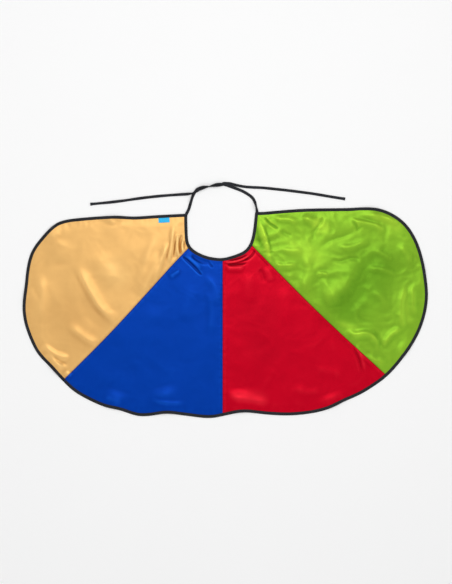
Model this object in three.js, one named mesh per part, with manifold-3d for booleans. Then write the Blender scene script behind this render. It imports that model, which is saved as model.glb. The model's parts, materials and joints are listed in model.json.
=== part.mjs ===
// A child's superhero cape, laid out flat and face up. Four satin panels are joined by three seams that
// fan out from the neckline. Bias binding, folded over the raw edge, runs round the wings and the hem, and
// a second strip binds the neckline and runs on past it as two ties, which are crossed in a half-knot.
//
// Millimetres. The cape is drawn with its neckline's lowest point at the origin, +X to its right wing, +Y
// to the knot and +Z up off the table, and is then moved so that the origin is under the middle of the cloth.
import * as THREE from "three";
import { mergeVertices } from "three/addons/utils/BufferGeometryUtils.js";
import Module from "manifold-3d";

const wasm = await Module();
wasm.setup();

// Driving dimensions
const leftReach = 543; // centre seam to the tip of the left wing
const rightReach = 557; // and to the tip of the right wing
const topRise = 138; // neckline up to the highest point of the top edge
const hemDrop = 434; // neckline down to the lowest point of the hem
const neckHalfWidth = 90;
const neckDepth = 120;
const clothThickness = 1;
const clearance = 0.3; // between pieces that lie in or on each other
const bindingWidth = 8; // finished, after folding
const leafThickness = 0.6; // one folded layer of binding
const cornerGap = 0.9; // outer binding's end to the neck binding's side
const seamAllowance = 10; // cloth turned under beyond a seam
const allowanceRoot = 3; // and back under its own panel
const allowanceThickness = 0.4;
const threadWidth = 0.5;
const threadHeight = 0.3;
const stitchInset = 1.5; // stitching to the binding's inner edge
const seamStitchInset = 1.5; // seam's stitching to the seam
const tieThickness = 2.2;
const tieChamfer = 0.6;
const strandDiameter = 2.6; // a tie bunched up inside the knot
const strandSpread = 1.5; // the knot's width to its height
const knotTurns = 1.75;
const flattening = 0.75; // share of the knot's length after which its strands lie side by side
const labelWidth = 30;
const labelLength = 12;
const labelPly = 0.3;
const labelPlyGap = 0.1;
const labelFromNeck = 40; // neck binding to the label's near end
const joinFromSeam = 6; // blue panel's lower left corner to the join in the outer binding

// Derived heights off the table
const slotHeight = clothThickness + 2 * clearance;
const bindingHeight = slotHeight + 2 * leafThickness;
const clothLevel = leafThickness + clearance;
const stitchLevel = bindingHeight + 0.05;
const allowanceLevel = threadHeight + 0.05;
const allowanceTop = allowanceLevel + allowanceThickness;
const labelLevel = clothLevel + clothThickness + clearance;
const tieLevel = clearance + tieThickness / 2; // middle of a tie that lies on the table
const strandLift = strandDiameter / 2 + clearance; // a strand's swing above and below the knot's middle
const strandSide = strandSpread * strandLift; // and to either side of it
const leftRootLevel = clearance + strandDiameter / 2 + 2 * strandLift; // where the upper strand comes out

// Sampling
const rimSteps = 116;
const neckSteps = 26;
const tieSteps = 30;
const strandSteps = 30;
const seamSteps = 12;
const far = 2000; // reaches past the cape on every side

// The finished edge, anticlockwise from the neckline's left corner to its right corner. Each point is
// [share of that wing's reach, share of the rise above the neckline or of the drop below it].
const rimShape = {
  leftWing: [
    [-0.33, 0.843], [-0.445, 0.815], [-0.53, 0.833], [-0.67, 0.803], [-0.79, 0.748], [-0.83, 0.693],
    [-0.87, 0.56], [-0.95, 0.175], [-0.974, -0.028], [-0.989, -0.178], [-1, -0.32], [-0.985, -0.43],
    [-0.935, -0.578], [-0.905, -0.628], [-0.863, -0.678],
  ],
  goldBlueFoot: [[-0.8, -0.766]],
  leftHem: [
    [-0.748, -0.828], [-0.682, -0.878], [-0.59, -0.929], [-0.509, -0.951], [-0.469, -0.971],
    [-0.409, -0.989], [-0.349, -0.983], [-0.281, -0.97], [-0.188, -0.984], [-0.06, -1],
  ],
  blueRedFoot: [[0, -0.987]],
  rightHem: [
    [0.068, -0.967], [0.107, -0.962], [0.206, -0.976], [0.323, -0.983], [0.44, -0.968], [0.517, -0.942],
    [0.595, -0.894], [0.673, -0.85], [0.75, -0.788],
  ],
  redGreenFoot: [[0.802, -0.737]],
  rightWing: [
    [0.867, -0.644], [0.945, -0.497], [0.983, -0.375], [1, -0.244], [0.987, -0.078], [0.958, 0.227],
    [0.919, 0.543], [0.887, 0.7], [0.836, 0.858], [0.767, 0.974], [0.694, 1], [0.622, 0.985],
    [0.384, 0.966],
  ],
};

// The neckline's finished edge, down the left side and up the right. Each point is [share of the half
// width, share of the depth].
const neckShape = [
  [-1.07, 1], [-1.072, 0.81], [-1.06, 0.59], [-1.05, 0.385], [-0.995, 0.26], [-0.76, 0.13],
  [-0.42, 0.028], [0, 0], [0.33, 0.06], [0.685, 0.172], [0.832, 0.33], [0.916, 0.59], [0.953, 0.81],
  [0.98, 1.04],
];

// Middle lines of the ties. The straps and the knot are in the neckline's shares, as above. The straps
// run from the neck binding's ends to the knot, the left one up to its near end and the right one to its
// far end. The tails are in millimetres from where they leave the knot.
const leftStrapShape = [[-0.975, 1.24], [-0.932, 1.352], [-0.9, 1.43]];
const rightStrapShape = [[0.92, 1.287], [0.836, 1.384], [0.73, 1.439], [0.519, 1.518], [0.35, 1.576], [0.17, 1.62]];
const knotShape = [[-0.84, 1.497], [-0.75, 1.55], [-0.603, 1.593], [-0.413, 1.622], [-0.286, 1.642], [-0.16, 1.66], [0, 1.675]];
const leftTailOffsets = [[-16, -4], [-41, -6], [-103, -11], [-145, -16], [-186, -22], [-228, -27], [-283, -32]];
const rightTailOffsets = [
  [16, -1], [36, -6], [63, -10], [105, -12], [143, -16], [180, -20], [240, -28], [288, -36], [325, -42],
];

// Curves

const rimPoint = ([x, y]) =>
  new THREE.Vector3(x * (x < 0 ? leftReach : rightReach), y * (y < 0 ? hemDrop : topRise), 0);
const neckPoint = ([x, y]) => new THREE.Vector3(x * neckHalfWidth, y * neckDepth, 0);
const smooth = (points) => new THREE.CatmullRomCurve3(points);

// Left of the direction of travel, in the plane of the table
const leftOf = (tangent) => new THREE.Vector3(-tangent.y, tangent.x, 0).normalize();

// Points beside a curve, at the steps that an extrusion along it takes; positive is to the left
function beside(curve, steps, distance) {
  const { tangents } = curve.computeFrenetFrames(steps, false);
  return curve.getSpacedPoints(steps).map((p, i) => p.addScaledVector(leftOf(tangents[i]), distance));
}

const neck = smooth(neckShape.map(neckPoint));

// A point beside an end of the neckline, square to it; positive is into the cloth
function besideEnd(end, distance) {
  return neck.getPoint(end).addScaledVector(leftOf(neck.getTangent(end)), -distance);
}

// The rim starts and stops just clear of the neck binding
const cornerReach = bindingWidth + cornerGap;
const rim = smooth([
  besideEnd(0, cornerReach),
  ...Object.values(rimShape).flat().map(rimPoint),
  besideEnd(1, cornerReach),
]);

// Seams run from the neckline to the rim, and are a little curved where the cloth is pulled
const seamPaths = {
  goldBlue: [neckPoint([-1.015, 0.24]), rimPoint([-0.213, 0.03]), rimPoint([-0.56, -0.465]), rimPoint([-0.8, -0.766])],
  blueRed: [neckPoint([0, 0]), rimPoint([0, -0.987])],
  redGreen: [neckPoint([0.832, 0.33]), rimPoint([0.48, -0.355]), rimPoint([0.802, -0.737])],
};

// Solids

function solidOf(geometry) {
  const bare = new THREE.BufferGeometry().setAttribute("position", geometry.getAttribute("position"));
  bare.setIndex(geometry.index);
  const merged = mergeVertices(bare, 1e-3);
  return new wasm.Manifold(
    new wasm.Mesh({
      numProp: 3,
      vertProperties: merged.attributes.position.array,
      triVerts: new Uint32Array(merged.index.array),
    }),
  );
}

function geometryOf(solid) {
  const mesh = solid.getMesh();
  const geometry = new THREE.BufferGeometry()
    .setAttribute("position", new THREE.BufferAttribute(mesh.vertProperties, 3))
    .setIndex(new THREE.BufferAttribute(mesh.triVerts, 1));
  geometry.computeVertexNormals();
  return geometry;
}

// A section swept along a curve. Section points are [left of travel, up].
function sweep(curve, section, steps) {
  const shape = new THREE.Shape(section.map(([left, up]) => new THREE.Vector2(-up, left)));
  return solidOf(new THREE.ExtrudeGeometry(shape, { steps, extrudePath: curve, bevelEnabled: false }));
}

function slab(points, height) {
  const shape = new THREE.Shape(points.map((p) => new THREE.Vector2(p.x, p.y)));
  return solidOf(new THREE.ExtrudeGeometry(shape, { depth: height, bevelEnabled: false }));
}

function block(left, right, bottom, top) {
  return [[left, bottom], [right, bottom], [right, top], [left, top]];
}

// The cape folds in half along its centre seam. This is everything on one side of it, half a clearance
// away: -1 is the left half, 1 the right.
function foldSide(side) {
  return solidOf(new THREE.BoxGeometry(far, far, far).translate((side * (far + clearance)) / 2, 0, 0));
}
const leftOfFold = foldSide(-1);
const rightOfFold = foldSide(1);

// Binding: one strip folded over the cloth's edge, its fold on the finished edge and its leaves to one side
function foldedStrip(side) {
  const slotTop = leafThickness + slotHeight;
  const profile = [
    [0, 0], [bindingWidth, 0], [bindingWidth, leafThickness], [leafThickness, leafThickness],
    [leafThickness, slotTop], [bindingWidth, slotTop], [bindingWidth, bindingHeight], [0, bindingHeight],
  ];
  return profile.map(([in_, up]) => [side * in_, up]);
}

function stitchRow(side) {
  const middle = bindingWidth - stitchInset;
  const row = block(middle - threadWidth / 2, middle + threadWidth / 2, stitchLevel, stitchLevel + threadHeight);
  return row.map(([in_, up]) => [side * in_, up]);
}

// The cloth inside a line that runs a set distance in from every finished edge
function cloth(inset, level, height) {
  const edge = [...rim.getSpacedPoints(rimSteps), ...neck.getSpacedPoints(neckSteps).reverse()];
  const trim = block(-bindingWidth, inset, -far, far);
  const leftCorner = new THREE.LineCurve3(besideEnd(0, 0), besideEnd(0, cornerReach + clearance));
  const rightCorner = new THREE.LineCurve3(besideEnd(1, cornerReach + clearance), besideEnd(1, 0));
  return slab(edge, height)
    .translate([0, 0, level])
    .subtract(sweep(rim, trim, rimSteps))
    .subtract(sweep(leftCorner, trim, 1))
    .subtract(sweep(rightCorner, trim, 1))
    .subtract(sweep(neck, block(-inset, bindingWidth, -far, far), neckSteps));
}

// A seam's line, carried on past both finished edges
function seamCurve(path) {
  const [head, foot] = [path[0], path[path.length - 1]];
  const before = head.clone().sub(path[1]).setLength(4 * bindingWidth).add(head);
  const past = foot.clone().sub(path[path.length - 2]).setLength(4 * bindingWidth).add(foot);
  return smooth([before, ...path, past]);
}

// The four panels, cut apart along the seams, from the left wing to the right
function cutPanels() {
  const kerf = block(-clearance / 2, clearance / 2, -far, far);
  let sheet = cloth(clearance + leafThickness, clothLevel, clothThickness);
  for (const path of Object.values(seamPaths)) {
    sheet = sheet.subtract(sweep(seamCurve(path), kerf, seamSteps));
  }
  const middleOf = (panel) => {
    const { min, max } = panel.boundingBox();
    return min[0] + max[0];
  };
  return sheet.decompose().sort((a, b) => middleOf(a) - middleOf(b));
}

// Cloth turned under at a seam: it steps down from its own panel and lies beneath the neighbour. side is 1
// where the neighbour lies to the left of the seam, taken from the neckline to the rim.
function allowance(path, side) {
  const step = [
    [-allowanceRoot, allowanceLevel], [seamAllowance, allowanceLevel], [seamAllowance, allowanceTop],
    [-clearance, allowanceTop], [-clearance, clothLevel + clothThickness / 2],
    [-allowanceRoot, clothLevel + clothThickness / 2],
  ];
  const section = step.map(([out, up]) => [side * out, up]);
  return sweep(seamCurve(path), section, seamSteps).intersect(insideBinding);
}

function seamThread(path, side) {
  const middle = side * seamStitchInset;
  const section = block(middle - threadWidth / 2, middle + threadWidth / 2, 0, threadHeight);
  return sweep(seamCurve(path), section, seamSteps).intersect(insideBinding);
}

// Flat tape with its corners taken off
function tape(points) {
  const [w, t, c] = [bindingWidth / 2, tieThickness / 2, tieChamfer];
  const section = [[w, c - t], [w, t - c], [w - c, t], [c - w, t], [-w, t - c], [-w, c - t], [c - w, -t], [w - c, -t]];
  return sweep(smooth(points), section, tieSteps);
}

// One of the two strands that wind round each other in the knot, phase being half a turn apart. They
// flatten out before the knot's far end and cross the fold side by side.
function strand(phase) {
  const middle = smooth(knotShape.map(neckPoint));
  const sides = beside(middle, strandSteps, 1);
  const points = middle.getSpacedPoints(strandSteps).map((p, i) => {
    const along = i / strandSteps;
    const turn = 2 * Math.PI * (phase + knotTurns * Math.min(1, along / flattening));
    const side = sides[i].sub(p).multiplyScalar(strandSide * Math.cos(turn));
    const lift = strandLift * (1 - THREE.MathUtils.smoothstep(along, flattening, 1 - (1 - flattening) / 2));
    return p.add(side).setZ(clearance + strandDiameter / 2 + lift * (1 + Math.sin(turn)));
  });
  const section = [];
  for (let i = 0; i < 8; i++) {
    const around = (i * Math.PI) / 4;
    section.push([(strandDiameter / 2) * Math.cos(around), (strandDiameter / 2) * Math.sin(around)]);
  }
  return sweep(smooth(points), section, strandSteps);
}

const raised = (points, levels) => points.map((p, i) => p.setZ(levels[Math.min(i, levels.length - 1)]));

// A strap carries straight on from an end of the neck binding before it bends towards the knot
function strap(end, points) {
  const tangent = neck.getTangent(end);
  const middle = besideEnd(end, bindingWidth / 2);
  const onward = tangent.multiplyScalar(end === 0 ? -1 : 1);
  const lead = [clearance, bindingWidth].map((past) => middle.clone().addScaledVector(onward, past));
  return tape(raised([...lead, ...points], [tieLevel]));
}

// A tail turns about its root, which is rounded. It leaves the root at one level and comes down to the
// table beyond it.
function tail(root, offsets, rootLevel) {
  const levels = [0, 0, 0.45, 0.9, 1].map((share) => THREE.MathUtils.lerp(rootLevel, tieLevel, share));
  const points = offsets.map(([x, y]) => new THREE.Vector3(root.x + x, root.y + y, 0));
  const end = new THREE.CylinderGeometry(bindingWidth / 2, bindingWidth / 2, tieThickness, 24);
  end.rotateX(Math.PI / 2).translate(root.x, root.y, rootLevel);
  return tape(raised([root.clone(), ...points], levels)).add(solidOf(end));
}

// Woven label, folded in half, its fold at the free end
function foldedLabel() {
  const thickness = 2 * labelPly + labelPlyGap;
  const profile = [
    [0, 0], [labelLength, 0], [labelLength, thickness], [0, thickness], [0, labelPly + labelPlyGap],
    [labelLength - labelPly, labelPly + labelPlyGap], [labelLength - labelPly, labelPly], [0, labelPly],
  ];
  const shape = new THREE.Shape(profile.map(([out, up]) => new THREE.Vector2(-out, up)));
  const geometry = new THREE.ExtrudeGeometry(shape, { depth: labelWidth, bevelEnabled: false });
  geometry.translate(0, 0, -labelWidth / 2);
  return geometry;
}

// Materials
const satin = (color) => new THREE.MeshStandardMaterial({ color, roughness: 0.35, metalness: 0 });
const gold = satin(0xe3b26b);
const blue = satin(0x003da6);
const red = satin(0xc40020);
const green = satin(0x8fc733);
const black = new THREE.MeshStandardMaterial({ color: 0x1e1e24, roughness: 0.8, metalness: 0 });
const thread = new THREE.MeshStandardMaterial({ color: 0x141418, roughness: 0.6, metalness: 0 });
const cyan = new THREE.MeshStandardMaterial({ color: 0x2bb4e6, roughness: 0.7, metalness: 0 });

// Assembly
const cape = new THREE.Group();
const leftHalf = new THREE.Group();
const rightHalf = new THREE.Group();
cape.add(leftHalf, rightHalf);

function place(name, shape, material, group) {
  const mesh = new THREE.Mesh(shape.isBufferGeometry ? shape : geometryOf(shape), material);
  mesh.name = name;
  group.add(mesh);
  return mesh;
}

const insideBinding = cloth(bindingWidth + 2 * clearance, 0, bindingHeight);
const [goldCloth, blueCloth, redCloth, greenCloth] = cutPanels();
place("panel_gold", goldCloth, gold, leftHalf);
const blueTurned = allowance(seamPaths.goldBlue, -1).add(allowance(seamPaths.blueRed, 1));
place("panel_blue", blueCloth.add(blueTurned), blue, leftHalf);
place("panel_red", redCloth, red, rightHalf);
place("panel_green", greenCloth.add(allowance(seamPaths.redGreen, -1)), green, rightHalf);
place("seam_thread_gold_blue", seamThread(seamPaths.goldBlue, -1), thread, leftHalf);
place("seam_thread_blue_red", seamThread(seamPaths.blueRed, 1), thread, leftHalf);
place("seam_thread_red_green", seamThread(seamPaths.redGreen, -1), thread, rightHalf);

// The outer binding is two strips, joined end to end just past the gold and blue panels' seam
const joinPoint = rimPoint(rimShape.goldBlueFoot[0]);
const joinTangent = rim.getTangent((rimShape.leftWing.length + 1) / (rim.points.length - 1));
joinPoint.addScaledVector(joinTangent, joinFromSeam);

// Splits what runs along the left half's rim at the join: the wing's length and the hem's length
function splitAtJoin(whole) {
  const gap = solidOf(new THREE.BoxGeometry(clearance, bindingWidth * 4, far)
    .rotateZ(Math.atan2(joinTangent.y, joinTangent.x))
    .translate(joinPoint.x, joinPoint.y, 0));
  const lengths = whole.subtract(gap).decompose();
  return lengths.sort((a, b) => b.boundingBox().max[1] - a.boundingBox().max[1]);
}

for (const [name, section, material] of [["outer_binding", foldedStrip(1), black], ["outer_stitching", stitchRow(1), thread]]) {
  const whole = sweep(rim, section, rimSteps);
  const [wing, hem] = splitAtJoin(whole.intersect(leftOfFold));
  place(name + "_left_wing", wing, material, leftHalf);
  place(name + "_left_hem", hem, material, leftHalf);
  place(name + "_right", whole.intersect(rightOfFold), material, rightHalf);
}

for (const [name, section, material] of [["neck_binding", foldedStrip(-1), black], ["neck_stitching", stitchRow(-1), thread]]) {
  const whole = sweep(neck, section, neckSteps);
  place(name + "_left", whole.intersect(leftOfFold), material, leftHalf);
  place(name + "_right", whole.intersect(rightOfFold), material, rightHalf);
}

// Ties. Each strap runs into the knot, passes round the other and comes out as the tail beyond it.
const knot = smooth(knotShape.map(neckPoint));
const knotHeading = knot.getTangent(0);
const knotLeft = knot.getPoint(0);
const knotRight = knot.getPoint(1);
const rootReach = bindingWidth / 2 + clearance;
const windingRoom = clearance + strandDiameter / 2; // where a strand sets off at a slant
const leftRoot = knotLeft.clone().addScaledVector(knotHeading, -windingRoom - bindingWidth / 2);
const rightRoot = knotRight.clone().add(new THREE.Vector3(clearance / 2 + rootReach, rootReach, 0));
const intoKnot = [-bindingWidth, -windingRoom].map((past) => knotLeft.clone().addScaledVector(knotHeading, past));
const outOfKnot = [bindingWidth, -clearance].map((past) => knotRight.clone().add(new THREE.Vector3(past, -rootReach, 0)));
place("left_strap", strap(0, [...leftStrapShape.map(neckPoint), ...intoKnot]), black, leftHalf);
place("left_tie_in_knot", strand(-0.25).intersect(leftOfFold), black, leftHalf);
place("right_tie_in_knot", strand(0.25).intersect(leftOfFold), black, leftHalf);
const rightStrap = strap(1, [...rightStrapShape.map(neckPoint), ...outOfKnot]);
place("right_strap", rightStrap.intersect(rightOfFold), black, rightHalf);
place("left_tail", tail(leftRoot, leftTailOffsets, leftRootLevel), black, leftHalf);
place("right_tail", tail(rightRoot, rightTailOffsets, tieLevel), black, rightHalf);

// Label, caught under the outer binding on the left wing's top edge
const labelAt = (labelFromNeck + labelWidth / 2) / rim.getLength();
const labelTangent = rim.getTangentAt(labelAt);
const label = place("side_label", foldedLabel(), cyan, leftHalf);
label.position.copy(rim.getPointAt(labelAt));
label.position.addScaledVector(leftOf(labelTangent), bindingWidth + clearance);
label.position.z = labelLevel;
const inward = leftOf(labelTangent);
label.quaternion.setFromRotationMatrix(
  new THREE.Matrix4().makeBasis(inward.clone().negate(), new THREE.Vector3(0, 0, 1),
    new THREE.Vector3().crossVectors(inward.clone().negate(), new THREE.Vector3(0, 0, 1))),
);

// The origin goes under the middle of the cloth and its bindings
const clothBox = new THREE.Box3();
for (const name of ["outer_binding_left_wing", "outer_binding_left_hem", "outer_binding_right"]) {
  clothBox.expandByObject(cape.getObjectByName(name));
}
const middle = clothBox.getCenter(new THREE.Vector3());
cape.position.set(-middle.x, -middle.y, 0);

export default cape;
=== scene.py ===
# A child's superhero cape in four colours of satin, laid out on a white table.
# Metres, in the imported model's frame: +X to the green wing, +Y to the knot, +Z up off the table.
import json
import math

import bmesh
import bpy
import numpy as np
from mathutils import Matrix, Vector, noise
from mathutils.bvhtree import BVHTree
from mathutils.geometry import delaunay_2d_cdt
from mathutils.kdtree import KDTree

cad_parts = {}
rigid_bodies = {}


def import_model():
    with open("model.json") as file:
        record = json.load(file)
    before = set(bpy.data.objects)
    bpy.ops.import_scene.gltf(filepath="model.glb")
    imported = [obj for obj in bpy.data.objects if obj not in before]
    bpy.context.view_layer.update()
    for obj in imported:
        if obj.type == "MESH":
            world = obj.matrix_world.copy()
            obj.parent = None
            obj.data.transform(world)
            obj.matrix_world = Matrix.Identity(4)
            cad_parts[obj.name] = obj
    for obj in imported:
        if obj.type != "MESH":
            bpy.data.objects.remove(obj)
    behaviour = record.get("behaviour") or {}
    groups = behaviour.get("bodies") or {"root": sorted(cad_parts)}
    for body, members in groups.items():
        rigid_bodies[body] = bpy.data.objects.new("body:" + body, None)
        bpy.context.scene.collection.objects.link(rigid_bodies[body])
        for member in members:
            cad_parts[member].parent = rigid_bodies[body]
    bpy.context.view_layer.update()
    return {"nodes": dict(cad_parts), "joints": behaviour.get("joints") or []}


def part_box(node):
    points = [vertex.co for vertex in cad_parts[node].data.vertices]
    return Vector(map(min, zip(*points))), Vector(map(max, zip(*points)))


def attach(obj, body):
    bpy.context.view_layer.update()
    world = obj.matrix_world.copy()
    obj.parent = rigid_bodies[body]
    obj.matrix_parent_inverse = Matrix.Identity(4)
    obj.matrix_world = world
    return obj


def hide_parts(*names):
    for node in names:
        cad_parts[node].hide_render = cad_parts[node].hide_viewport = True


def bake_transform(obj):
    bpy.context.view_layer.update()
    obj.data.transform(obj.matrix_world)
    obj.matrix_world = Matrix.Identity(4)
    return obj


for leftover in list(bpy.data.objects):  # the startup file's own cube, lamp and camera
    bpy.data.objects.remove(leftover)
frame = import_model()
mm = 0.001
joints = {joint["name"]: joint for joint in frame["joints"]}
foldX = joints["centre_fold"]["pos_m"][0]

# ---- camera: straight down from above the table

view = {"lens": 85, "sensor": 36, "tall": 1.5856, "middle": (0.0019, 0.0561)}


def makeCamera():
    data = bpy.data.cameras.new("camera")
    data.lens = view["lens"]
    data.sensor_width = view["sensor"]
    camera = bpy.data.objects.new("camera", data)
    camera.location = (*view["middle"], view["tall"] * view["lens"] / view["sensor"])
    bpy.context.scene.collection.objects.link(camera)
    bpy.context.scene.camera = camera


makeCamera()
bpy.context.scene.view_settings.view_transform = "Standard"

# ---- curves, as arrays of points, and the pieces that are built along them


def distances(points):
    # how far along a line each of its points is
    return np.concatenate([[0], np.cumsum(np.linalg.norm(np.diff(points, axis=0), axis=1))])


def headings(points):
    ways = np.gradient(points, axis=0)
    return ways / np.linalg.norm(ways, axis=1)[:, None]


def leftOf(points):
    heading = headings(points[:, :2])
    return np.column_stack([-heading[:, 1], heading[:, 0]])


def evenly(points, spacing):
    along = distances(points)
    stops = np.linspace(0, along[-1], max(2, round(along[-1] / spacing) + 1))
    return np.column_stack([np.interp(stops, along, points[:, k]) for k in range(points.shape[1])])


def softened(points, reach):
    # averages each point with its neighbours, fewer of them towards the ends
    sums = np.cumsum(np.vstack([np.zeros(points.shape[1]), points]), axis=0)
    index = np.arange(len(points))
    width = np.minimum(reach, np.minimum(index, len(points) - 1 - index))
    return (sums[index + width + 1] - sums[index - width]) / (2 * width + 1)[:, None]


def smoothLine(points, spacing):
    # a curve through every point, sampled evenly
    points = np.array(points, float)
    ends = np.vstack([2 * points[0] - points[1], points, 2 * points[-1] - points[-2]])
    pieces = []
    for a, b, c, d in zip(ends, ends[1:], ends[2:], ends[3:]):
        t = np.linspace(0, 1, 12, endpoint=False)[:, None]
        pieces.append(0.5 * (2 * b + (c - a) * t + (2 * a - 5 * b + 4 * c - d) * t**2
                             + (3 * b - a - 3 * c + d) * t**3))
    return evenly(np.vstack([*pieces, points[-1:]]), spacing)


def smoothStep(low, high, value):
    t = np.clip((value - low) / (high - low), 0, 1)
    return t * t * (3 - 2 * t)


def wander(count, pace, row, column):
    # a smooth and repeatable unevenness, one value for each step along a piece
    return np.array([noise.noise(Vector((i * pace, row, column))) for i in range(count)])


def skinRings(mesh, rings, uvAt=None):
    # a tube from ring to ring, shut at both ends; without uvAt its UV is its place in plan
    uv = mesh.loops.layers.uv.verify()
    count = len(rings[0])
    for i, (ring, after) in enumerate(zip(rings, rings[1:])):
        for k in range(count):
            face = mesh.faces.new((ring[k], ring[(k + 1) % count], after[(k + 1) % count], after[k]))
            for loop, (row, column) in zip(face.loops, ((i, k), (i, k + 1), (i + 1, k + 1), (i + 1, k))):
                loop[uv].uv = uvAt(row, column) if uvAt else loop.vert.co.xy
    mesh.faces.new(rings[0][::-1])
    mesh.faces.new(rings[-1])
    bmesh.ops.recalc_face_normals(mesh, faces=mesh.faces[:])


def steadyFaces(mesh):
    # the corners of every face in one fixed order, whatever order the operators left
    mesh.verts.index_update()
    loops = [[vert.index for vert in face.verts] for face in mesh.faces]
    return sorted(loop[loop.index(min(loop)):] + loop[:loop.index(min(loop))] for loop in loops)


def addFaces(mesh, corners, faces):
    verts = [mesh.verts.new(corner) for corner in corners]
    for face in faces:
        mesh.faces.new([verts[i] for i in face])


def newPiece(name, mesh):
    # the one way that a finished bmesh becomes an object of the scene
    data = bpy.data.meshes.new(name)
    mesh.to_mesh(data)
    mesh.free()
    data.polygons.foreach_set("use_smooth", [True] * len(data.polygons))
    piece = bpy.data.objects.new(name, data)
    bpy.context.scene.collection.objects.link(piece)
    return piece


# ---- the cords: both ties, as straps, through the knot, and as loose tails

ties = {
    "width": 8 * mm, "thickness": 1.3 * mm, "bunched": 7.4 * mm, "fat": 2.5 * mm,
    "wayOut": (5.2 * mm, 2.0 * mm), "knotSpread": 2.3 * mm, "knotLift": 1.5 * mm, "knotGap": 0.4 * mm,
    "turns": 1.1, "flattening": 0.9, "level": 1.4 * mm, "overBinding": (1.6 * mm, 1.3 * mm, 0.3 * mm),
    "tailLevel": 4.6 * mm, "floor": 0.1 * mm, "strapStep": 1.5 * mm, "knotStep": 1.2 * mm,
    "tailStep": 2 * mm, "tailSettles": 60 * mm, "tailWave": 0.5 * mm, "wobble": 0.16, "tailTilt": 0.22,
    "rising": 0.8, "tailBunched": 0.55, "tailEnd": 1.08, "endDoubled": 1.5,
    # counts of steps: neighbours averaged, and before and after a joint where the tape changes its shape
    "soft": 4, "tiltSoft": 5, "intoKnot": (12, 4), "outOfKnot": (14, 4), "tailOpens": 8,
}
# across and up, from -1 to 1: the folded edge is the fuller one, and a stitch line runs beside the other
tieSection = [(-1, 0), (-0.94, 0.62), (-0.7, 0.92), (-0.1, 1), (0.5, 0.86), (0.62, 0.62), (0.74, 0.84),
              (0.93, 0.7), (1, 0), (0.93, -0.7), (0.5, -0.9), (-0.1, -1), (-0.7, -0.92), (-0.94, -0.62)]
# routes in mm
leftStrapRoute = [(-107.1, 263.5), (-105, 270), (-100.6, 277), (-94.4, 296.7), (-90.4, 310.2),
                  (-87.2, 319.5), (-83.4, 326.6)]
rightStrapRoute = [(86.6, 266.5), (86.4, 273.5), (84.6, 284), (80, 301), (73, 312.5), (60.6, 322),
                   (43, 331.6), (24.3, 338.6), (8.2, 344.4), (1, 346.8)]
knotRoute = [(-82.8, 327.6), (-74.7, 333.9), (-61.4, 339.1), (-44.3, 342.2), (-32.9, 344.6),
             (-21.6, 346.6), (-7.2, 347.9), (4, 348)]
leftTailRoute = [(-87.2, 324.1), (-103.2, 321.9), (-128.2, 320.3), (-158, 318.2), (-190.2, 315.4),
                 (-232.2, 310.3), (-273.1, 304.4), (-315.1, 299.4), (-366.6, 294.4)]
rightTailRoute = [(-2.7, 353.2), (11.3, 350.6), (33.3, 345.2), (60.3, 341), (102.3, 338.8),
                  (140.3, 334.9), (177.3, 330.8), (237.3, 322.9), (285.3, 314.9), (325.3, 308.6)]
# where each tie comes out of the knot and becomes its tail, with its level
leftWayOut = [(-10.5, 350.2, 1.6), (-6.5, 351.9, 1.5), (-3, 352.7, 1.4), (0.5, 352.5, 1.4)]
rightWayOut = [(-80.5, 329.6, 4.6), (-83.5, 326.6, 4.6), (-86.6, 324.5, 4.6), (-90, 323.5, 4.6)]


def sweepTape(name, centres, widths, thicknesses, tilts):
    # a flat tape along a line, turned about it by its tilts and kept off the table
    mesh = bmesh.new()
    heading = headings(centres)
    flat = np.cross(np.tile([0.0, 0, 1], (len(centres), 1)), heading)
    flat /= np.linalg.norm(flat, axis=1)[:, None]
    upright = np.cross(heading, flat)
    rings = []
    for centre, side, up, width, thickness, tilt in zip(centres, flat, upright, widths, thicknesses, tilts):
        across = math.cos(tilt) * side + math.sin(tilt) * up
        out = math.cos(tilt) * up - math.sin(tilt) * side
        corners = [centre + across * x * width / 2 + out * y * thickness / 2 for x, y in tieSection]
        rings.append([mesh.verts.new((x, y, max(z, ties["floor"]))) for x, y, z in corners])
    along = distances(centres)
    skinRings(mesh, rings, lambda row, column: (along[row], column / len(tieSection) * 2 * widths[row]))
    return newPiece(name, mesh)


def knotLine(phase):
    # one tie's way round the other, in three dimensions, and how far it has turned at each point
    middle = smoothLine(np.array(knotRoute) * mm, ties["knotStep"])
    along = np.linspace(0, 1, len(middle))
    turn = 2 * math.pi * (phase + ties["turns"] * along)
    lift = ties["knotLift"] * (1 - smoothStep(ties["flattening"], 1, along))
    side = leftOf(middle) * (ties["knotSpread"] * np.cos(turn))[:, None]
    height = ties["fat"] / 2 + ties["knotGap"] + lift * (1 + np.sin(turn))
    return np.column_stack([middle + side, height]), turn


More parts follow.
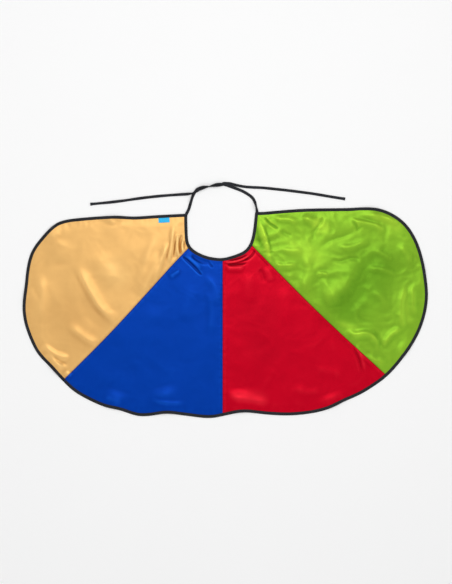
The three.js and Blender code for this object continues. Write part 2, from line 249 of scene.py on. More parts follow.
def makeTie(name, strapRoute, phase, entersLeft, wayOut, edgeUp):
    strap = np.array(strapRoute) * mm
    level = np.full((len(strap), 1), ties["level"])
    level[:3, 0] += np.array(ties["overBinding"])
    strap = smoothLine(np.hstack([strap, level]), ties["strapStep"])
    # for a stretch the strap stands half on its edge: where, over how much of it, and the angle
    where, share, angle = edgeUp
    stand = angle * np.exp(-(((np.linspace(0, 1, len(strap)) - where) / share) ** 2))
    strap[:, 2] += ties["rising"] * ties["width"] / 2 * np.sin(stand)
    knot, turn = knotLine(phase)
    if not entersLeft:
        knot, turn = knot[::-1], turn[::-1]
    knot, turn = knot[2:-7], turn[2:-7]  # leaves room to run smoothly in and out
    wayOut = smoothLine(np.array(wayOut) * mm, ties["knotStep"])
    whole = softened(np.vstack([strap[:-3], knot, wayOut]), ties["soft"])
    index = np.arange(len(whole))
    (before, after), (opens, opened) = ties["intoKnot"], ties["outOfKnot"]
    inKnot = smoothStep(len(strap) - before, len(strap) + after, index)
    ending = smoothStep(len(whole) - opens, len(whole) - opened, index)
    widths = ties["width"] + (ties["bunched"] - ties["width"]) * inKnot
    widths += (ties["wayOut"][0] - ties["bunched"]) * ending
    thicknesses = ties["thickness"] + (ties["fat"] - ties["thickness"]) * inKnot
    thicknesses += (ties["wayOut"][1] - ties["fat"]) * ending
    # half a turn in all, so that the tape comes out flat again
    rolled = math.pi * (turn - turn[0]) / (2 * math.pi * ties["turns"])
    tilts = np.concatenate([stand[:-3], rolled, np.full(len(wayOut), rolled[-1])])
    wobble = ties["wobble"] * wander(len(whole), 0.06, phase * 9, 3)
    tilts = softened(tilts[:, None], ties["tiltSoft"])[:, 0] + wobble
    return sweepTape(name, whole, widths, thicknesses, tilts), whole


def makeTail(name, route, rootLevel, seed):
    line = smoothLine(np.array(route) * mm, ties["tailStep"])
    count = len(line)
    index = np.arange(count)
    settle = smoothStep(0, ties["tailSettles"] / ties["tailStep"], index)
    heights = rootLevel * (1 - settle) + ties["level"] * settle
    heights += ties["tailWave"] * np.maximum(0, wander(count, 0.035, seed, 0)) * settle
    line = np.column_stack([line, heights])
    widths = ties["width"] * (0.94 + 0.12 * wander(count, 0.05, seed, 2))
    bunched = ties["tailBunched"]  # where it leaves the knot
    widths *= bunched + (1 - bunched) * smoothStep(0, ties["tailOpens"], index)
    widths[-4:] *= ties["tailEnd"]  # the end is turned in and sewn down
    thicknesses = np.where(index > count - 5, ties["endDoubled"], 1) * ties["thickness"]
    return sweepTape(name, line, widths, thicknesses, ties["tailTilt"] * wander(count, 0.03, seed, 7)), line


wrap = {"middle": (-74.6, 333.9), "radius": 4.7 * mm, "width": 8.6 * mm, "thickness": 1.5 * mm,
        "squat": 0.68, "lean": 0.9 * mm, "turned": 34, "lift": 0.6 * mm}


def makeWrap():
    # one turn of the tail's tape round both ties, where they cross
    mesh = bmesh.new()
    made = bmesh.ops.create_circle(mesh, segments=12, radius=1)
    bmesh.ops.scale(mesh, vec=(wrap["width"] / 2, wrap["thickness"] / 2, 1), verts=made["verts"])
    bmesh.ops.translate(mesh, vec=(0, wrap["radius"], 0), verts=mesh.verts[:])
    bmesh.ops.spin(mesh, geom=mesh.verts[:] + mesh.edges[:], cent=(0, 0, 0), axis=(1, 0, 0),
                   angle=2 * math.pi, steps=28, use_merge=True)
    bmesh.ops.remove_doubles(mesh, verts=mesh.verts[:], dist=0.01 * mm)
    for vert in mesh.verts:
        vert.co.x += wrap["lean"] * math.atan2(vert.co.z, vert.co.y)  # the turn leans along the ties
        vert.co.z *= wrap["squat"]
    bmesh.ops.rotate(mesh, verts=mesh.verts[:], matrix=Matrix.Rotation(math.radians(wrap["turned"]), 3, "Z"))
    rise = wrap["radius"] * wrap["squat"] + wrap["lift"]
    bmesh.ops.translate(mesh, vec=(*(np.array(wrap["middle"]) * mm), rise), verts=mesh.verts[:])
    bmesh.ops.recalc_face_normals(mesh, faces=mesh.faces[:])
    steady = bmesh.new()
    addFaces(steady, [vert.co for vert in mesh.verts], steadyFaces(mesh))
    mesh.free()
    uv = steady.loops.layers.uv.verify()
    for face in steady.faces:
        for loop in face.loops:
            loop[uv].uv = loop.vert.co.xy
    return newPiece("knot_wrap", steady)


knotWrap = makeWrap()
leftTie, leftTieLine = makeTie("left_tie", leftStrapRoute, -0.25, True, leftWayOut, (0.68, 0.12, 0.6))
rightTie, rightTieLine = makeTie("right_tie", rightStrapRoute, 0.25, False, rightWayOut, (0.17, 0.08, 0.95))
leftTail, leftTailLine = makeTail("left_tail_tape", leftTailRoute, ties["tailLevel"], 11)
rightTail, rightTailLine = makeTail("right_tail_tape", rightTailRoute, ties["level"], 23)
print("ties made")

# ---- the finished edges and the seams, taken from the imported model

# angles are in degrees round a middle; the counts are of neighbours that a point is averaged with
tracing = {
    "rimAngles": (131.8, 411.2), "neckAngles": (157, 385), "angleStep": 0.2, "rayLevel": 0.3 * mm,
    "bottomUp": 8 * mm, "neckMiddle": (-4 * mm, 80 * mm), "spacing": 1 * mm, "cornerGap": 7 * mm,
    "cornerCut": 12, "traced": 9, "rimSoft": 5, "neckSoft": 14, "seamSoft": 12, "seamPast": 30,
    "stationGap": 4 * mm,
}
# each seam: its thread, how far the seam lies beside it, the side and height of the pressed allowance, and
# the allowance's satin and body
seamFacts = {
    "goldBlue": {"node": "gold_blue", "inset": 1.5 * mm, "side": 1, "pressed": 0.4,
                 "slot": "blue_satin", "body": "left_half"},
    "blueRed": {"node": "blue_red", "inset": -1.5 * mm, "side": 1, "pressed": 0.8,
                "slot": "red_satin", "body": "fold"},
    "redGreen": {"node": "red_green", "inset": 1.5 * mm, "side": -1, "pressed": 1.2,
                 "slot": "red_satin", "body": "right_half"},
}


def treeOf(names):
    corners, faces = [], []
    for name in names:
        data = frame["nodes"][name].data
        faces += [[len(corners) + i for i in polygon.vertices] for polygon in data.polygons]
        corners += [vertex.co for vertex in data.vertices]
    return BVHTree.FromPolygons(corners, faces)


def evenSoft(points, count):
    return evenly(softened(evenly(points, tracing["spacing"]), count), tracing["spacing"])


def traceEdge(names, centre, angles, inside):
    # the first wall that a low ray meets, from angle to angle round the centre, skipping the gaps
    tree = treeOf(names)
    found, last = [], None
    for angle in np.radians(np.arange(*angles, tracing["angleStep"])):
        outward = Vector((math.cos(angle), math.sin(angle), 0))
        start = Vector((*centre, tracing["rayLevel"])) + (Vector() if inside else outward * 2)
        hit = tree.ray_cast(start, outward if inside else -outward)[0]
        if hit is None:
            continue
        reach = (hit.xy - Vector(centre)).length
        if last is None or 0.8 < reach / last < 1.25:
            found.append(hit.xy[:])
            last = reach
    return evenSoft(np.array(found), tracing["traced"])


outerNodes = ["outer_binding_left_wing", "outer_binding_left_hem", "outer_binding_right"]
neckNodes = ["neck_binding_left", "neck_binding_right"]
neckTop = [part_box(name)[1].y for name in neckNodes]
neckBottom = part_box("neck_binding_left")[0].y + tracing["bottomUp"]
rim = traceEdge(outerNodes, (foldX, neckBottom), tracing["rimAngles"], False)
shiftX, shiftY = tracing["neckMiddle"]
neck = traceEdge(neckNodes, (foldX + shiftX, neckBottom + shiftY), tracing["neckAngles"], True)
neck = np.vstack([[neck[0, 0], neckTop[0]], neck, [neck[-1, 0] + 1 * mm, neckTop[1]]])
neck = evenSoft(neck, tracing["neckSoft"])
gap, cut = tracing["cornerGap"], tracing["cornerCut"]
rim = evenSoft(np.vstack([neck[0] + (-gap, 0), rim[cut:-cut], neck[-1] + (gap, 0)]), tracing["rimSoft"])


def seamLine(threadNode, inset):
    # the thread's middle, moved over to the seam that it lies beside, from the neckline to the rim
    points = np.array([vertex.co[:2] for vertex in frame["nodes"][threadNode].data.vertices])
    reach = np.linalg.norm(points - (foldX, neckBottom), axis=1)
    order = np.argsort(reach)
    breaks = np.flatnonzero(np.diff(reach[order]) > tracing["stationGap"]) + 1
    line = np.array([(station.min(0) + station.max(0)) / 2 for station in np.split(points[order], breaks)])
    line = line + leftOf(line) * inset
    past = [end + (end - nextTo) / np.linalg.norm(end - nextTo) * tracing["seamPast"] * mm
            for end, nextTo in ((line[0], line[1]), (line[-1], line[-2]))]
    return softened(evenly(np.vstack([past[0], line, past[1]]), tracing["spacing"]), tracing["seamSoft"])


seams = {name: seamLine("seam_thread_" + facts["node"], facts["inset"]) for name, facts in seamFacts.items()}
print("edges traced:", len(rim), "mm of rim and", len(neck), "mm of neckline")

# ---- how the cloth lies: soft folds and creases as strokes, over a gentle unevenness

# height, width to the left and to the right of the stroke, and its line, all in mm
goldFolds = [
    (4.4, 16, 8, [(-414, 128), (-392, 104), (-370, 62), (-345, 20), (-312, -15), (-291, -33)]),
    (2.4, 14, 9, [(-432, -28), (-404, -52), (-374, -74), (-338, -90)]),
    (-1.6, 22, 16, [(-400, 54), (-374, 14), (-344, -28), (-322, -50)]),
    (2.6, 16, 16, [(-507, 112), (-499, 51), (-503, 9), (-516, -29)]),
    (3.4, 8, 12, [(-500, -84), (-474, -104), (-452, -116), (-418, -126)]),
    (2.6, 6, 10, [(-488, -106), (-470, -124), (-452, -140), (-436, -158)]),
    (-1.8, 5, 5, [(-470, -118), (-450, -133), (-427, -141)]),
    (3.2, 4.5, 5.5, [(-128, 216), (-131, 192), (-129, 168), (-123, 150)]),
    (2.4, 3.5, 4, [(-113, 202), (-117, 184), (-114, 166), (-110, 158)]),
    (-6.4, 2.8, 2.8, [(-118, 214), (-121, 198), (-123, 182), (-122, 166), (-117, 148)]),
    (-1.3, 2.4, 2.4, [(-131, 208), (-135.5, 188), (-138.5, 168), (-141, 144)]),
    (-1.7, 4, 4, [(-110, 200), (-108.5, 186), (-104, 174)]),
    (-0.7, 3.4, 3.4, [(-146, 214), (-150, 190), (-156, 160), (-163, 132)]),
    (2.2, 5, 6, [(-141, 240), (-143, 212), (-146, 184), (-152, 150), (-159, 128)]),
    (2.6, 7, 9, [(-155, 196), (-170, 150), (-186, 106), (-200, 74)]),
    (2.4, 8, 14, [(-176, 170), (-194, 123), (-212, 82), (-234, 36)]),
    (1.6, 12, 12, [(-180, 222), (-205, 170), (-226, 110), (-246, 60)]),
    (-1.2, 16, 10, [(-312, 262), (-296, 250), (-288, 232)]),
    (1.2, 26, 26, [(-440, 205), (-452, 170), (-448, 128)]),
    (1.4, 24, 24, [(-350, 170), (-330, 118), (-296, 78)]),
]
blueFolds = [
    (-6.4, 2.6, 2.6, [(-118, 155), (-104, 142), (-88, 127), (-62, 100)]),
    (2.2, 8, 4, [(-110, 158), (-98, 148), (-80, 132), (-62, 116)]),
    (-3.6, 4.4, 4.4, [(-94, 158), (-78, 146), (-62, 139), (-42, 134)]),
    (-2.4, 2.4, 2.4, [(-50, 142), (-42, 132), (-33, 122)]),
    (2.6, 4.5, 6, [(-152, 94), (-138, 106), (-122, 116)]),
    (1.6, 10, 16, [(-62, 104), (-38, 84), (-24, 58), (-20, 12)]),
    (1.4, 16, 10, [(-50, 70), (-38, 22), (-38, -26), (-46, -70)]),
    (1.1, 22, 22, [(-92, 84), (-98, 30), (-112, -30)]),
    (1.0, 26, 26, [(-190, 26), (-206, -30), (-214, -90)]),
    (2.6, 5, 5, [(-436, -160), (-428, -166), (-416, -171)]),
    (1.4, 6, 7, [(-205, -232), (-178, -243), (-138, -247), (-104, -244)]),
    (1.2, 7, 8, [(-330, -226), (-304, -238), (-276, -243)]),
]
redFolds = [
    (4.8, 3.2, 3.4, [(-4, 138), (14, 137.6), (34, 141), (52, 148), (66, 158)]),
    (-3.0, 2.6, 2.6, [(48, 141), (62, 147), (74, 158), (82, 172)]),
    (-3.0, 2.4, 2.4, [(2, 133), (14, 130), (30, 131), (50, 133), (60, 136)]),
    (2.4, 5, 9, [(-2, 124), (24, 121), (56, 124)]),
    (-1.8, 6, 6, [(92, 122), (100, 106), (108, 80)]),
    (1.8, 8, 14, [(112, 128), (120, 108), (128, 82)]),
    (1.3, 18, 18, [(66, 112), (64, 66), (72, 20)]),
    (1.2, 22, 22, [(150, 74), (166, 20), (176, -36)]),
    (-2.2, 2.2, 2.2, [(346, -84), (355, -106), (364, -130), (374, -172)]),
    (2.0, 8, 4, [(352, -84), (362, -108), (372, -132), (380, -160)]),
    (2.6, 12, 12, [(2, -226), (34, -232), (62, -236), (100, -244), (124, -250)]),
    (1.2, 12, 12, [(180, -200), (220, -216), (268, -214)]),
    (0.9, 14, 14, [(236, -150), (282, -160), (330, -170)]),
    (1.0, 26, 26, [(40, -60), (46, -120), (38, -170)]),
]
greenFolds = [
    (3.0, 4.6, 12, [(92, 250), (104, 222), (112, 196), (122, 158)]),
    (-2.4, 2.6, 4, [(104, 262), (120, 244), (132, 236), (146, 226)]),
    (2.8, 10, 7, [(128, 262), (150, 254), (176, 252), (200, 236)]),
    (-1.8, 4, 5, [(150, 224), (164, 214), (182, 208)]),
    (3.6, 14, 10, [(208, 268), (224, 254), (244, 240), (262, 246)]),
    (-2.6, 3.4, 5, [(270, 262), (256, 240), (243, 220), (240, 196)]),
    (3.2, 5, 12, [(336, 262), (352, 250), (374, 246), (412, 236), (440, 214)]),
    (-2.4, 3, 3, [(342, 254), (352, 240), (360, 226), (372, 240)]),
    (3.0, 8, 10, [(386, 272), (408, 264), (438, 258), (474, 240)]),
    (-1.6, 5, 9, [(354, 222), (320, 206), (286, 196), (252, 176)]),
    (2.6, 14, 12, [(212, 160), (224, 112), (214, 78), (232, 52)]),
    (5.4, 18, 34, [(356, 150), (340, 104), (318, 66), (284, 38), (254, 20)]),
    (-2.2, 16, 28, [(384, 96), (360, 52), (330, 12), (300, -20)]),
    (2.6, 12, 8, [(392, 206), (372, 190), (336, 178), (300, 182)]),
    (4.2, 8, 12, [(324, -44), (350, -58), (380, -56), (402, -66), (420, -92)]),
    (-2.4, 5, 6, [(398, -44), (414, -66), (424, -98)]),
    (3.4, 10, 6, [(424, -96), (438, -76), (454, -58), (484, -40)]),
    (3.2, 7, 14, [(492, 76), (480, 40), (477, -2), (486, -60)]),
    (2.2, 8, 8, [(506, 80), (510, 30), (514, -16)]),
    (2.0, 7, 10, [(376, 118), (402, 120), (430, 116), (464, 98)]),
    (2.6, 8, 10, [(352, -96), (380, -120), (408, -130), (440, -136)]),
    (1.8, 7, 10, [(150, 172), (184, 168), (212, 176)]),
    (2.2, 6, 10, [(128, 134), (160, 128), (200, 134)]),
    (-1.6, 5, 7, [(282, 146), (312, 140), (344, 148), (372, 142)]),
    (1.6, 8, 8, [(396, 168), (428, 160), (456, 140)]),
    (1.6, 10, 10, [(392, 60), (424, 40), (438, 6)]),
    (2.2, 9, 9, [(470, 190), (492, 158), (506, 118)]),
    (2.0, 5, 8, [(246, 96), (262, 108), (284, 100)]),
]
# painted sheen, where whole areas of satin are painted lighter or darker: share of the way to the ridge's
# painted highlight colour, or below nought to the valley's painted shade colour
paintedSheenAreas = [
    (-0.62, 78, 70, [(250, -40), (318, 8), (360, 52), (396, 104), (420, 150), (440, 215)]),
    (0.75, 2.6, 8, [(86, 262), (95, 240), (104, 214), (112, 188), (122, 150), (128, 128)]),
    (-0.6, 5, 6, [(82, 240), (88, 214), (94, 190), (104, 164)]),
    (0.55, 14, 16, [(232, 254), (250, 244), (266, 234), (284, 214)]),
    (0.5, 10, 14, [(300, -22), (330, -34), (356, -46), (372, -72)]),
    (0.45, 16, 16, [(392, 262), (420, 256), (452, 242), (486, 216)]),
    (0.35, 12, 12, [(492, 86), (488, 40), (492, -10), (500, -50)]),
    (0.4, 14, 18, [(330, 104), (312, 76), (288, 52), (262, 34)]),
    (0.3, 26, 26, [(150, 190), (200, 176), (240, 150), (262, 110)]),
    (0.25, 30, 30, [(-330, 150), (-300, 110), (-262, 70)]),
    (-0.12, 60, 60, [(-470, 60), (-420, 0), (-360, -60), (-320, -110)]),
    (-0.12, 70, 70, [(60, 60), (90, -20), (110, -110), (120, -180)]),
    (0.3, 16, 16, [(4, -214), (36, -222), (80, -230), (128, -242)]),
]
# flutes that lift the hem and its binding, from the edge inwards
hemFlutes = [
    (3.6, 30, 30, [(-148, -300), (-154, -268), (-164, -226), (-172, -196)]),
    (3.4, 28, 32, [(42, -300), (42, -262), (40, -226), (38, -200)]),
    (3.0, 26, 26, [(-316, -290), (-306, -256), (-296, -226), (-290, -206)]),
    (2.8, 30, 30, [(302, -280), (292, -246), (282, -216)]),
    (3.6, 20, 20, [(-480, -180), (-462, -152), (-440, -124)]),
    (2.6, 24, 24, [(516, -122), (490, -102), (466, -88)]),
    (2.4, 26, 26, [(-572, 40), (-540, 44), (-508, 56)]),
    (2.4, 24, 24, [(-300, 290), (-304, 262), (-312, 236)]),
    (2.6, 24, 22, [(402, 306), (394, 276), (384, 250)]),
    (2.2, 24, 24, [(572, 130), (540, 122), (512, 116)]),
    (2.2, 22, 22, [(-498, 246), (-474, 220), (-454, 198)]),
]
drape = {
    "edgeLevel": 1.35, "bodyLevel": 2.1, "lowest": 0.75, "noise": 0.75, "noiseSize": 95,
    "ripple": 0.2, "rippleSize": 11, "rippleAt": 8, "rippleReach": 15, "rippleDeep": 30,
    "pucker": 0.2, "puckerSize": 9, "puckerReach": 12, "puckerDeep": 25, "seamDip": 0.85, "seamWidth": 1.5,
    "sharp": 0.22, "evened": 2, "pressedAt": 3.2, "pressedWidth": 2.1,
    "crumples": ((4.2, 74, 9), (1.9, 33, 17)), "grain": (0.5, 24, 2),  # height, size and seed
}
# from where to where each kind of shape comes in, in mm from the finished edge or the nearest seam
comesIn = {"body": (6, 34), "folds": (3, 15), "crumpleFromSeam": (1, 16), "crumpleFromEdge": (4, 16),
           "ripple": (2, 9), "pressed": (6, 12), "dip": (7, 12)}
crumple = {"panel_gold": 0.2, "panel_blue": 0.16, "panel_red": 0.22, "panel_green": 0.75}
panelNames = list(crumple)
finishedEdge = np.vstack([rim, neck[::-1]])


def strokeHeights(points, strokes):
    # points and strokes in mm
    heights = np.zeros(len(points))
    for height, leftWidth, rightWidth, line in strokes:
        line = smoothLine(line, 7)
        start, run = line[:-1], np.diff(line, axis=0)
        margin = 3 * max(leftWidth, rightWidth)
        near = np.flatnonzero(((points > line.min(0) - margin) & (points < line.max(0) + margin)).all(1))
        if len(near) == 0:
            continue
        offset = points[near, None] - start[None]
        t = np.clip((offset * run).sum(2) / (run**2).sum(1), 0, 1)
        gap = offset - t[..., None] * run
        distance = np.linalg.norm(gap, axis=2)
        best = distance.argmin(1)
        pick = np.arange(len(near))
        side = run[best, 0] * gap[pick, best, 1] - run[best, 1] * gap[pick, best, 0]
        width = np.where(side > 0, leftWidth, rightWidth)
        along = (best + t[pick, best]) / len(run)
        taper = smoothStep(0, 0.3, along) * smoothStep(0, 0.3, 1 - along)
        heights[near] += height * np.exp(-((distance[pick, best] / width) ** 2)) * taper
    return heights


def noiseAt(points, size, seed):
    return np.array([noise.fractal(Vector((x / size, y / size, seed)), 0.9, 2.1, 2) for x, y in points])


def crumpledAt(points, size, seed):
    # flat facets that meet in soft creases where the noise crosses nought, bent by a slower noise
    values = []
    for x, y in points:
        shiftX = noise.noise(Vector((x / 2 / size + 31.7, y / 2 / size, seed)))
        shiftY = noise.noise(Vector((x / 2 / size, y / 2 / size + 57.3, seed + 3)))
        value = noise.noise(Vector(((x + size * shiftX) / size, (y + size * shiftY) / size, seed)))
        values.append(0.35 - math.sqrt(value * value + 0.004))
    return np.array(values)


def noiseBeside(along, size, row, gaps, deep):
    # twice an unevenness that runs along an edge or seam and changes slowly away from it
    return 2 * np.array([noise.noise(Vector((i / size, row, gap / deep))) for i, gap in zip(along, gaps)])


def gapsTo(line, points):
    # distance to a line of close points, how far along it, and the side, positive on its left
    tree = KDTree(len(line))
    for i, point in enumerate(line):
        tree.insert((point[0], point[1], 0), i)
    tree.balance()
    index = np.array([tree.find((x, y, 0))[1] for x, y in points])
    offset = points - line[index]
    return np.linalg.norm(offset, axis=1), index, (offset * leftOf(line)[index]).sum(1)


def panelOf(points):
    # 0 to 3, the panel that each point lies in, from the gold wing to the green one
    number = np.zeros(len(points), int)
    for line in seams.values():
        number += gapsTo(line, points)[2] > 0
    return number


def clothHeights(points):
    # the cloth's middle level over the table, for points in metres
    plan = points / mm
    edgeGap, edgeIndex, _ = gapsTo(finishedEdge, points)
    edgeGap = edgeGap / mm
    seamGap = np.full(len(points), 1e3)
    seamAlong, seamSide, seamPressed = (np.zeros(len(points)) for _ in range(3))
    for number, (name, line) in enumerate(seams.items()):
        gap, index, side = gapsTo(line, points)
        nearer = gap / mm < seamGap
        seamSide[nearer] = side[nearer] / mm * seamFacts[name]["side"]
        seamPressed[nearer] = seamFacts[name]["pressed"]
        seamGap[nearer] = gap[nearer] / mm
        seamAlong[nearer] = index[nearer] + 700 * number
    inner = smoothStep(*comesIn["body"], edgeGap)
    level = drape["edgeLevel"] + (drape["bodyLevel"] - drape["edgeLevel"]) * inner
    level += drape["noise"] * noiseAt(plan, drape["noiseSize"], 4) * inner
    folds = strokeHeights(plan, goldFolds + blueFolds + redFolds + greenFolds)
    level += folds * smoothStep(*comesIn["folds"], edgeGap)
    level += strokeHeights(plan, hemFlutes)
    amount = np.array([crumple[name] for name in panelNames])[panelOf(points)]
    amount = amount * smoothStep(*comesIn["crumpleFromSeam"], seamGap)
    amount = amount * smoothStep(*comesIn["crumpleFromEdge"], edgeGap)
    (large, *largeAt), (small, *smallAt), (fine, *fineAt) = *drape["crumples"], drape["grain"]
    level += amount * (large * crumpledAt(plan, *largeAt) + small * crumpledAt(plan, *smallAt)
                       + fine * noiseAt(plan, *fineAt))
    reach = np.exp(-((edgeGap - drape["rippleAt"]) / drape["rippleReach"]) ** 2)
    reach = reach * smoothStep(*comesIn["ripple"], edgeGap)
    ripples = noiseBeside(edgeIndex, drape["rippleSize"], 5, edgeGap, drape["rippleDeep"])
    level += drape["ripple"] * ripples * reach
    puckers = noiseBeside(seamAlong, drape["puckerSize"], 15, seamGap, drape["puckerDeep"])
    level += drape["pucker"] * puckers * np.exp(-((seamGap / drape["puckerReach"]) ** 2))
    pressed = np.exp(-(((seamSide - drape["pressedAt"]) / drape["pressedWidth"]) ** 2))
    level += seamPressed * pressed * (seamGap < 20) * smoothStep(*comesIn["pressed"], edgeGap)
    dip = np.exp(-((seamGap / drape["seamWidth"]) ** 2))
    level -= drape["seamDip"] * dip * smoothStep(*comesIn["dip"], edgeGap)
    low = drape["lowest"]
    level = np.where(level < 2 * low, low + low * np.exp((level - 2 * low) / low), level)
    return level * mm


# ---- the cloth as one sheet of small triangles, then cut along its seams

sheet = {
    "spacing": 3.2 * mm, "fineSpacing": 1.4 * mm, "fineReach": 72 * mm, "edgeRow": 4 * mm, "tuckedIn": 1 * mm,
    "bindingRow": 8.6 * mm, "seamStep": 3 * mm, "seamRows": (-3.2, -1.3, 1.3, 3.2), "gridToEdge": 11 * mm,
    "gridToSeam": 5.2 * mm, "rowToEdge": 9.5 * mm, "rowToSeam": 4.5 * mm, "thickness": 0.34 * mm,
    "takenUp": 1.02,  # flat cloth for each length that lies in folds
}


def insetEdge(distance, spacing):
    # the finished edge moved inwards as a closed loop, the inside being on the rim's left
    outer = rim + leftOf(rim) * distance
    inner = neck - leftOf(neck) * distance
    outer = outer[gapsTo(neck, outer)[0] > distance * 0.98]
    inner = inner[gapsTo(rim, inner)[0] > distance * 0.98]
    loop = np.vstack([outer, inner[::-1]])
    return evenly(np.vstack([loop, loop[:1]]), spacing)[:-1]


def insideOf(points, loop):
    x, y = points[:, 0], points[:, 1]
    inside = np.zeros(len(points), bool)
    for (ax, ay), (bx, by) in zip(loop, np.roll(loop, -1, axis=0)):
        crosses = (ay > y) != (by > y)
        if crosses.any():
            inside ^= crosses & (x < (bx - ax) * (y - ay) / (by - ay + 1e-12) + ax)
    return inside


def clearOf(line, points, distance):
    return points[gapsTo(line, points)[0] > distance]


def hexGrid(spacing):
    low, high = finishedEdge.min(0), finishedEdge.max(0)
    xs = np.arange(low[0], high[0], spacing)
    ys = np.arange(low[1], high[1], spacing * math.sqrt(3) / 2)
    return np.array([(x + (j % 2) * spacing / 2, y) for j, y in enumerate(ys) for x in xs])


def clothSheet():
    boundary = insetEdge(sheet["tuckedIn"], sheet["edgeRow"])
    points = [boundary]
    edges = [(i, (i + 1) % len(boundary)) for i in range(len(boundary))]
    bindingRow = insetEdge(sheet["bindingRow"], sheet["spacing"])
    seamPoints, rows = [], []
    for line in seams.values():
        inside = line[insideOf(line, boundary)]
        ends = [boundary[np.linalg.norm(boundary - end, axis=1).argmin()] for end in (inside[0], inside[-1])]
        line = np.vstack([ends[0], evenly(inside[4:-4], sheet["seamStep"]), ends[1]])
        seamPoints.append(line)
        rows += [line[2:-2] + leftOf(line)[2:-2] * offset * mm for offset in sheet["seamRows"]]
    coarse, fine = hexGrid(sheet["spacing"]), hexGrid(sheet["fineSpacing"])
    reach = sheet["fineReach"]
    grid = np.vstack([clearOf(neck, coarse, reach), fine[gapsTo(neck, fine)[0] < reach]])
    grid = clearOf(finishedEdge, grid[insideOf(grid, boundary)], sheet["gridToEdge"])
    rows = [clearOf(finishedEdge, row[insideOf(row, boundary)], sheet["rowToEdge"]) for row in rows]
    bindingRow = bindingRow[insideOf(bindingRow, boundary)]
    for line in seams.values():
        grid = clearOf(line, grid, sheet["gridToSeam"])
        bindingRow = clearOf(line, bindingRow, sheet["rowToSeam"])
    first = len(boundary)
    for line in seamPoints:
        edges += [(first + i, first + i + 1) for i in range(len(line) - 1)]
        points.append(line)
        first += len(line)
    points = np.vstack([*points, bindingRow, *rows, grid]) / mm
    made = delaunay_2d_cdt([Vector(p) for p in points], edges, [], 1, 1e-4)
    return np.array([v[:] for v in made[0]]) * mm, np.array(made[2])


plan, triangles = clothSheet()
heights = clothHeights(plan)
print("cloth sheet:", len(plan), "points,", len(triangles), "triangles")
panelNumber = panelOf(plan[triangles].mean(1))
clothTree = BVHTree.FromPolygons([(x, y, z) for (x, y), z in zip(plan, heights)], triangles.tolist())


def levelAt(points):
    # the cloth's level under points in plan, or that of its nearest edge
    levels = []
    for x, y in points:
        hit = clothTree.ray_cast(Vector((x, y, 0.1)), Vector((0, 0, -1)))[0]
        if hit is None:
            hit = clothTree.find_nearest(Vector((x, y, 1.4 * mm)))[0]
        levels.append(hit.z)
    return np.array(levels)


def aboveNeighbours(levels):
    # how much each point stands above the middle of its neighbours, and how far off they are
    total, count, reach = (np.zeros(len(plan)) for _ in range(3))
    for a, b in ((0, 1), (1, 2), (2, 0)):
        for p, q in ((a, b), (b, a)):
            start, end = triangles[:, p], triangles[:, q]
            np.add.at(total, start, levels[end])
            np.add.at(reach, start, np.linalg.norm(plan[start] - plan[end], axis=1))
            np.add.at(count, start, 1)
    count = np.maximum(count, 1)
    return levels - total / count, reach / count


# the bend at each point in 1/mm, evened out a little: ridges positive, valleys negative. It sets the painted
# highlight on ridges and the painted shade in valleys
standing, spacing = aboveNeighbours(heights)
standing = 4 * standing * mm / np.maximum(spacing, 0.5 * mm) ** 2
for _ in range(drape["evened"]):
    standing = standing - aboveNeighbours(standing)[0]
# painted sheen over broad areas, added to the painted highlight and shade that come from the bend
paintedSheenShift = strokeHeights(plan / mm, paintedSheenAreas)


def makePanel(number):
    mesh = bmesh.new()
    uv = mesh.loops.layers.uv.verify()
    ridge = mesh.verts.layers.float.new("ridge")
    faces = triangles[panelNumber == number]
    verts = {}
    for i in np.unique(faces):
        verts[i] = mesh.verts.new((*plan[i], heights[i]))
        # the share of painted highlight (towards one) or painted shade (towards nought) at each point, kept
        # for the satin's colour
        verts[i][ridge] = 0.5 + 0.5 * math.tanh(standing[i] / drape["sharp"] + paintedSheenShift[i])
    for triangle in faces:
        face = mesh.faces.new([verts[i] for i in triangle])
        for loop in face.loops:
            loop[uv].uv = loop.vert.co.xy
    bmesh.ops.recalc_face_normals(mesh, faces=mesh.faces[:])
    if sum(face.normal.z for face in mesh.faces) < 0:
        bmesh.ops.reverse_faces(mesh, faces=mesh.faces[:])
    piece = newPiece(panelNames[number].replace("panel_", "") + "_satin", mesh)
    solid = piece.modifiers.new("thickness", "SOLIDIFY")
    solid.thickness = sheet["thickness"]
    solid.offset = 0
    return piece


panels = [makePanel(number) for number in range(4)]

# ---- the black bias tape folded over every edge, and its stitching

binding = {"step": 3 * mm, "stitchIn": 6.4, "stitchLength": 2.7 * mm, "stitchEvery": 3.5 * mm,
           "stitchRadius": 0.24 * mm, "stitchUp": 0.83 * mm, "rumple": 0.22, "wander": 0.35,
           "join": (-437 * mm, -186 * mm)}
# inwards from the finished edge and up from the cloth's middle, in mm, round the top half of the fold
tapeSection = [(-0.35, 0), (-0.2, 0.62), (0.45, 1.0), (2.6, 1.1), (5.2, 1.0), (6.1, 0.74), (6.7, 0.74),
               (7.3, 0.92), (7.9, 0.82), (8.05, 0.5), (8.0, 0.24)]


def bindEdge(name, edge, inward, seed):
    # a closed strip, the section's top half and its mirror below, along a stretch of finished edge
    mesh = bmesh.new()
    half = np.array(tapeSection)
    section = np.vstack([half, half[:0:-1] * (1, -1)])
    rumple = wander(len(edge), 0.21, seed, 4) * binding["rumple"]
    strays = wander(len(edge), 0.13, seed, 8) * binding["wander"]
    rows = []
    for x, up in section:
        reach = x + strays * (x > 6)
        level = levelAt(edge + inward * np.maximum(reach * mm, 1.4 * mm)[:, None])
        swell = 1 + rumple * (1 if 1 < x < 6 else 0.3)
        rows.append(np.column_stack([edge + inward * (reach * mm)[:, None], level + up * swell * mm]))
    rings = [[mesh.verts.new(row[i]) for row in rows] for i in range(len(edge))]
    around, along = distances(section) * mm, distances(edge)
    around = np.append(around, around[-1])
    skinRings(mesh, rings, lambda row, column: (along[row], around[column]))
    return newPiece(name, mesh)


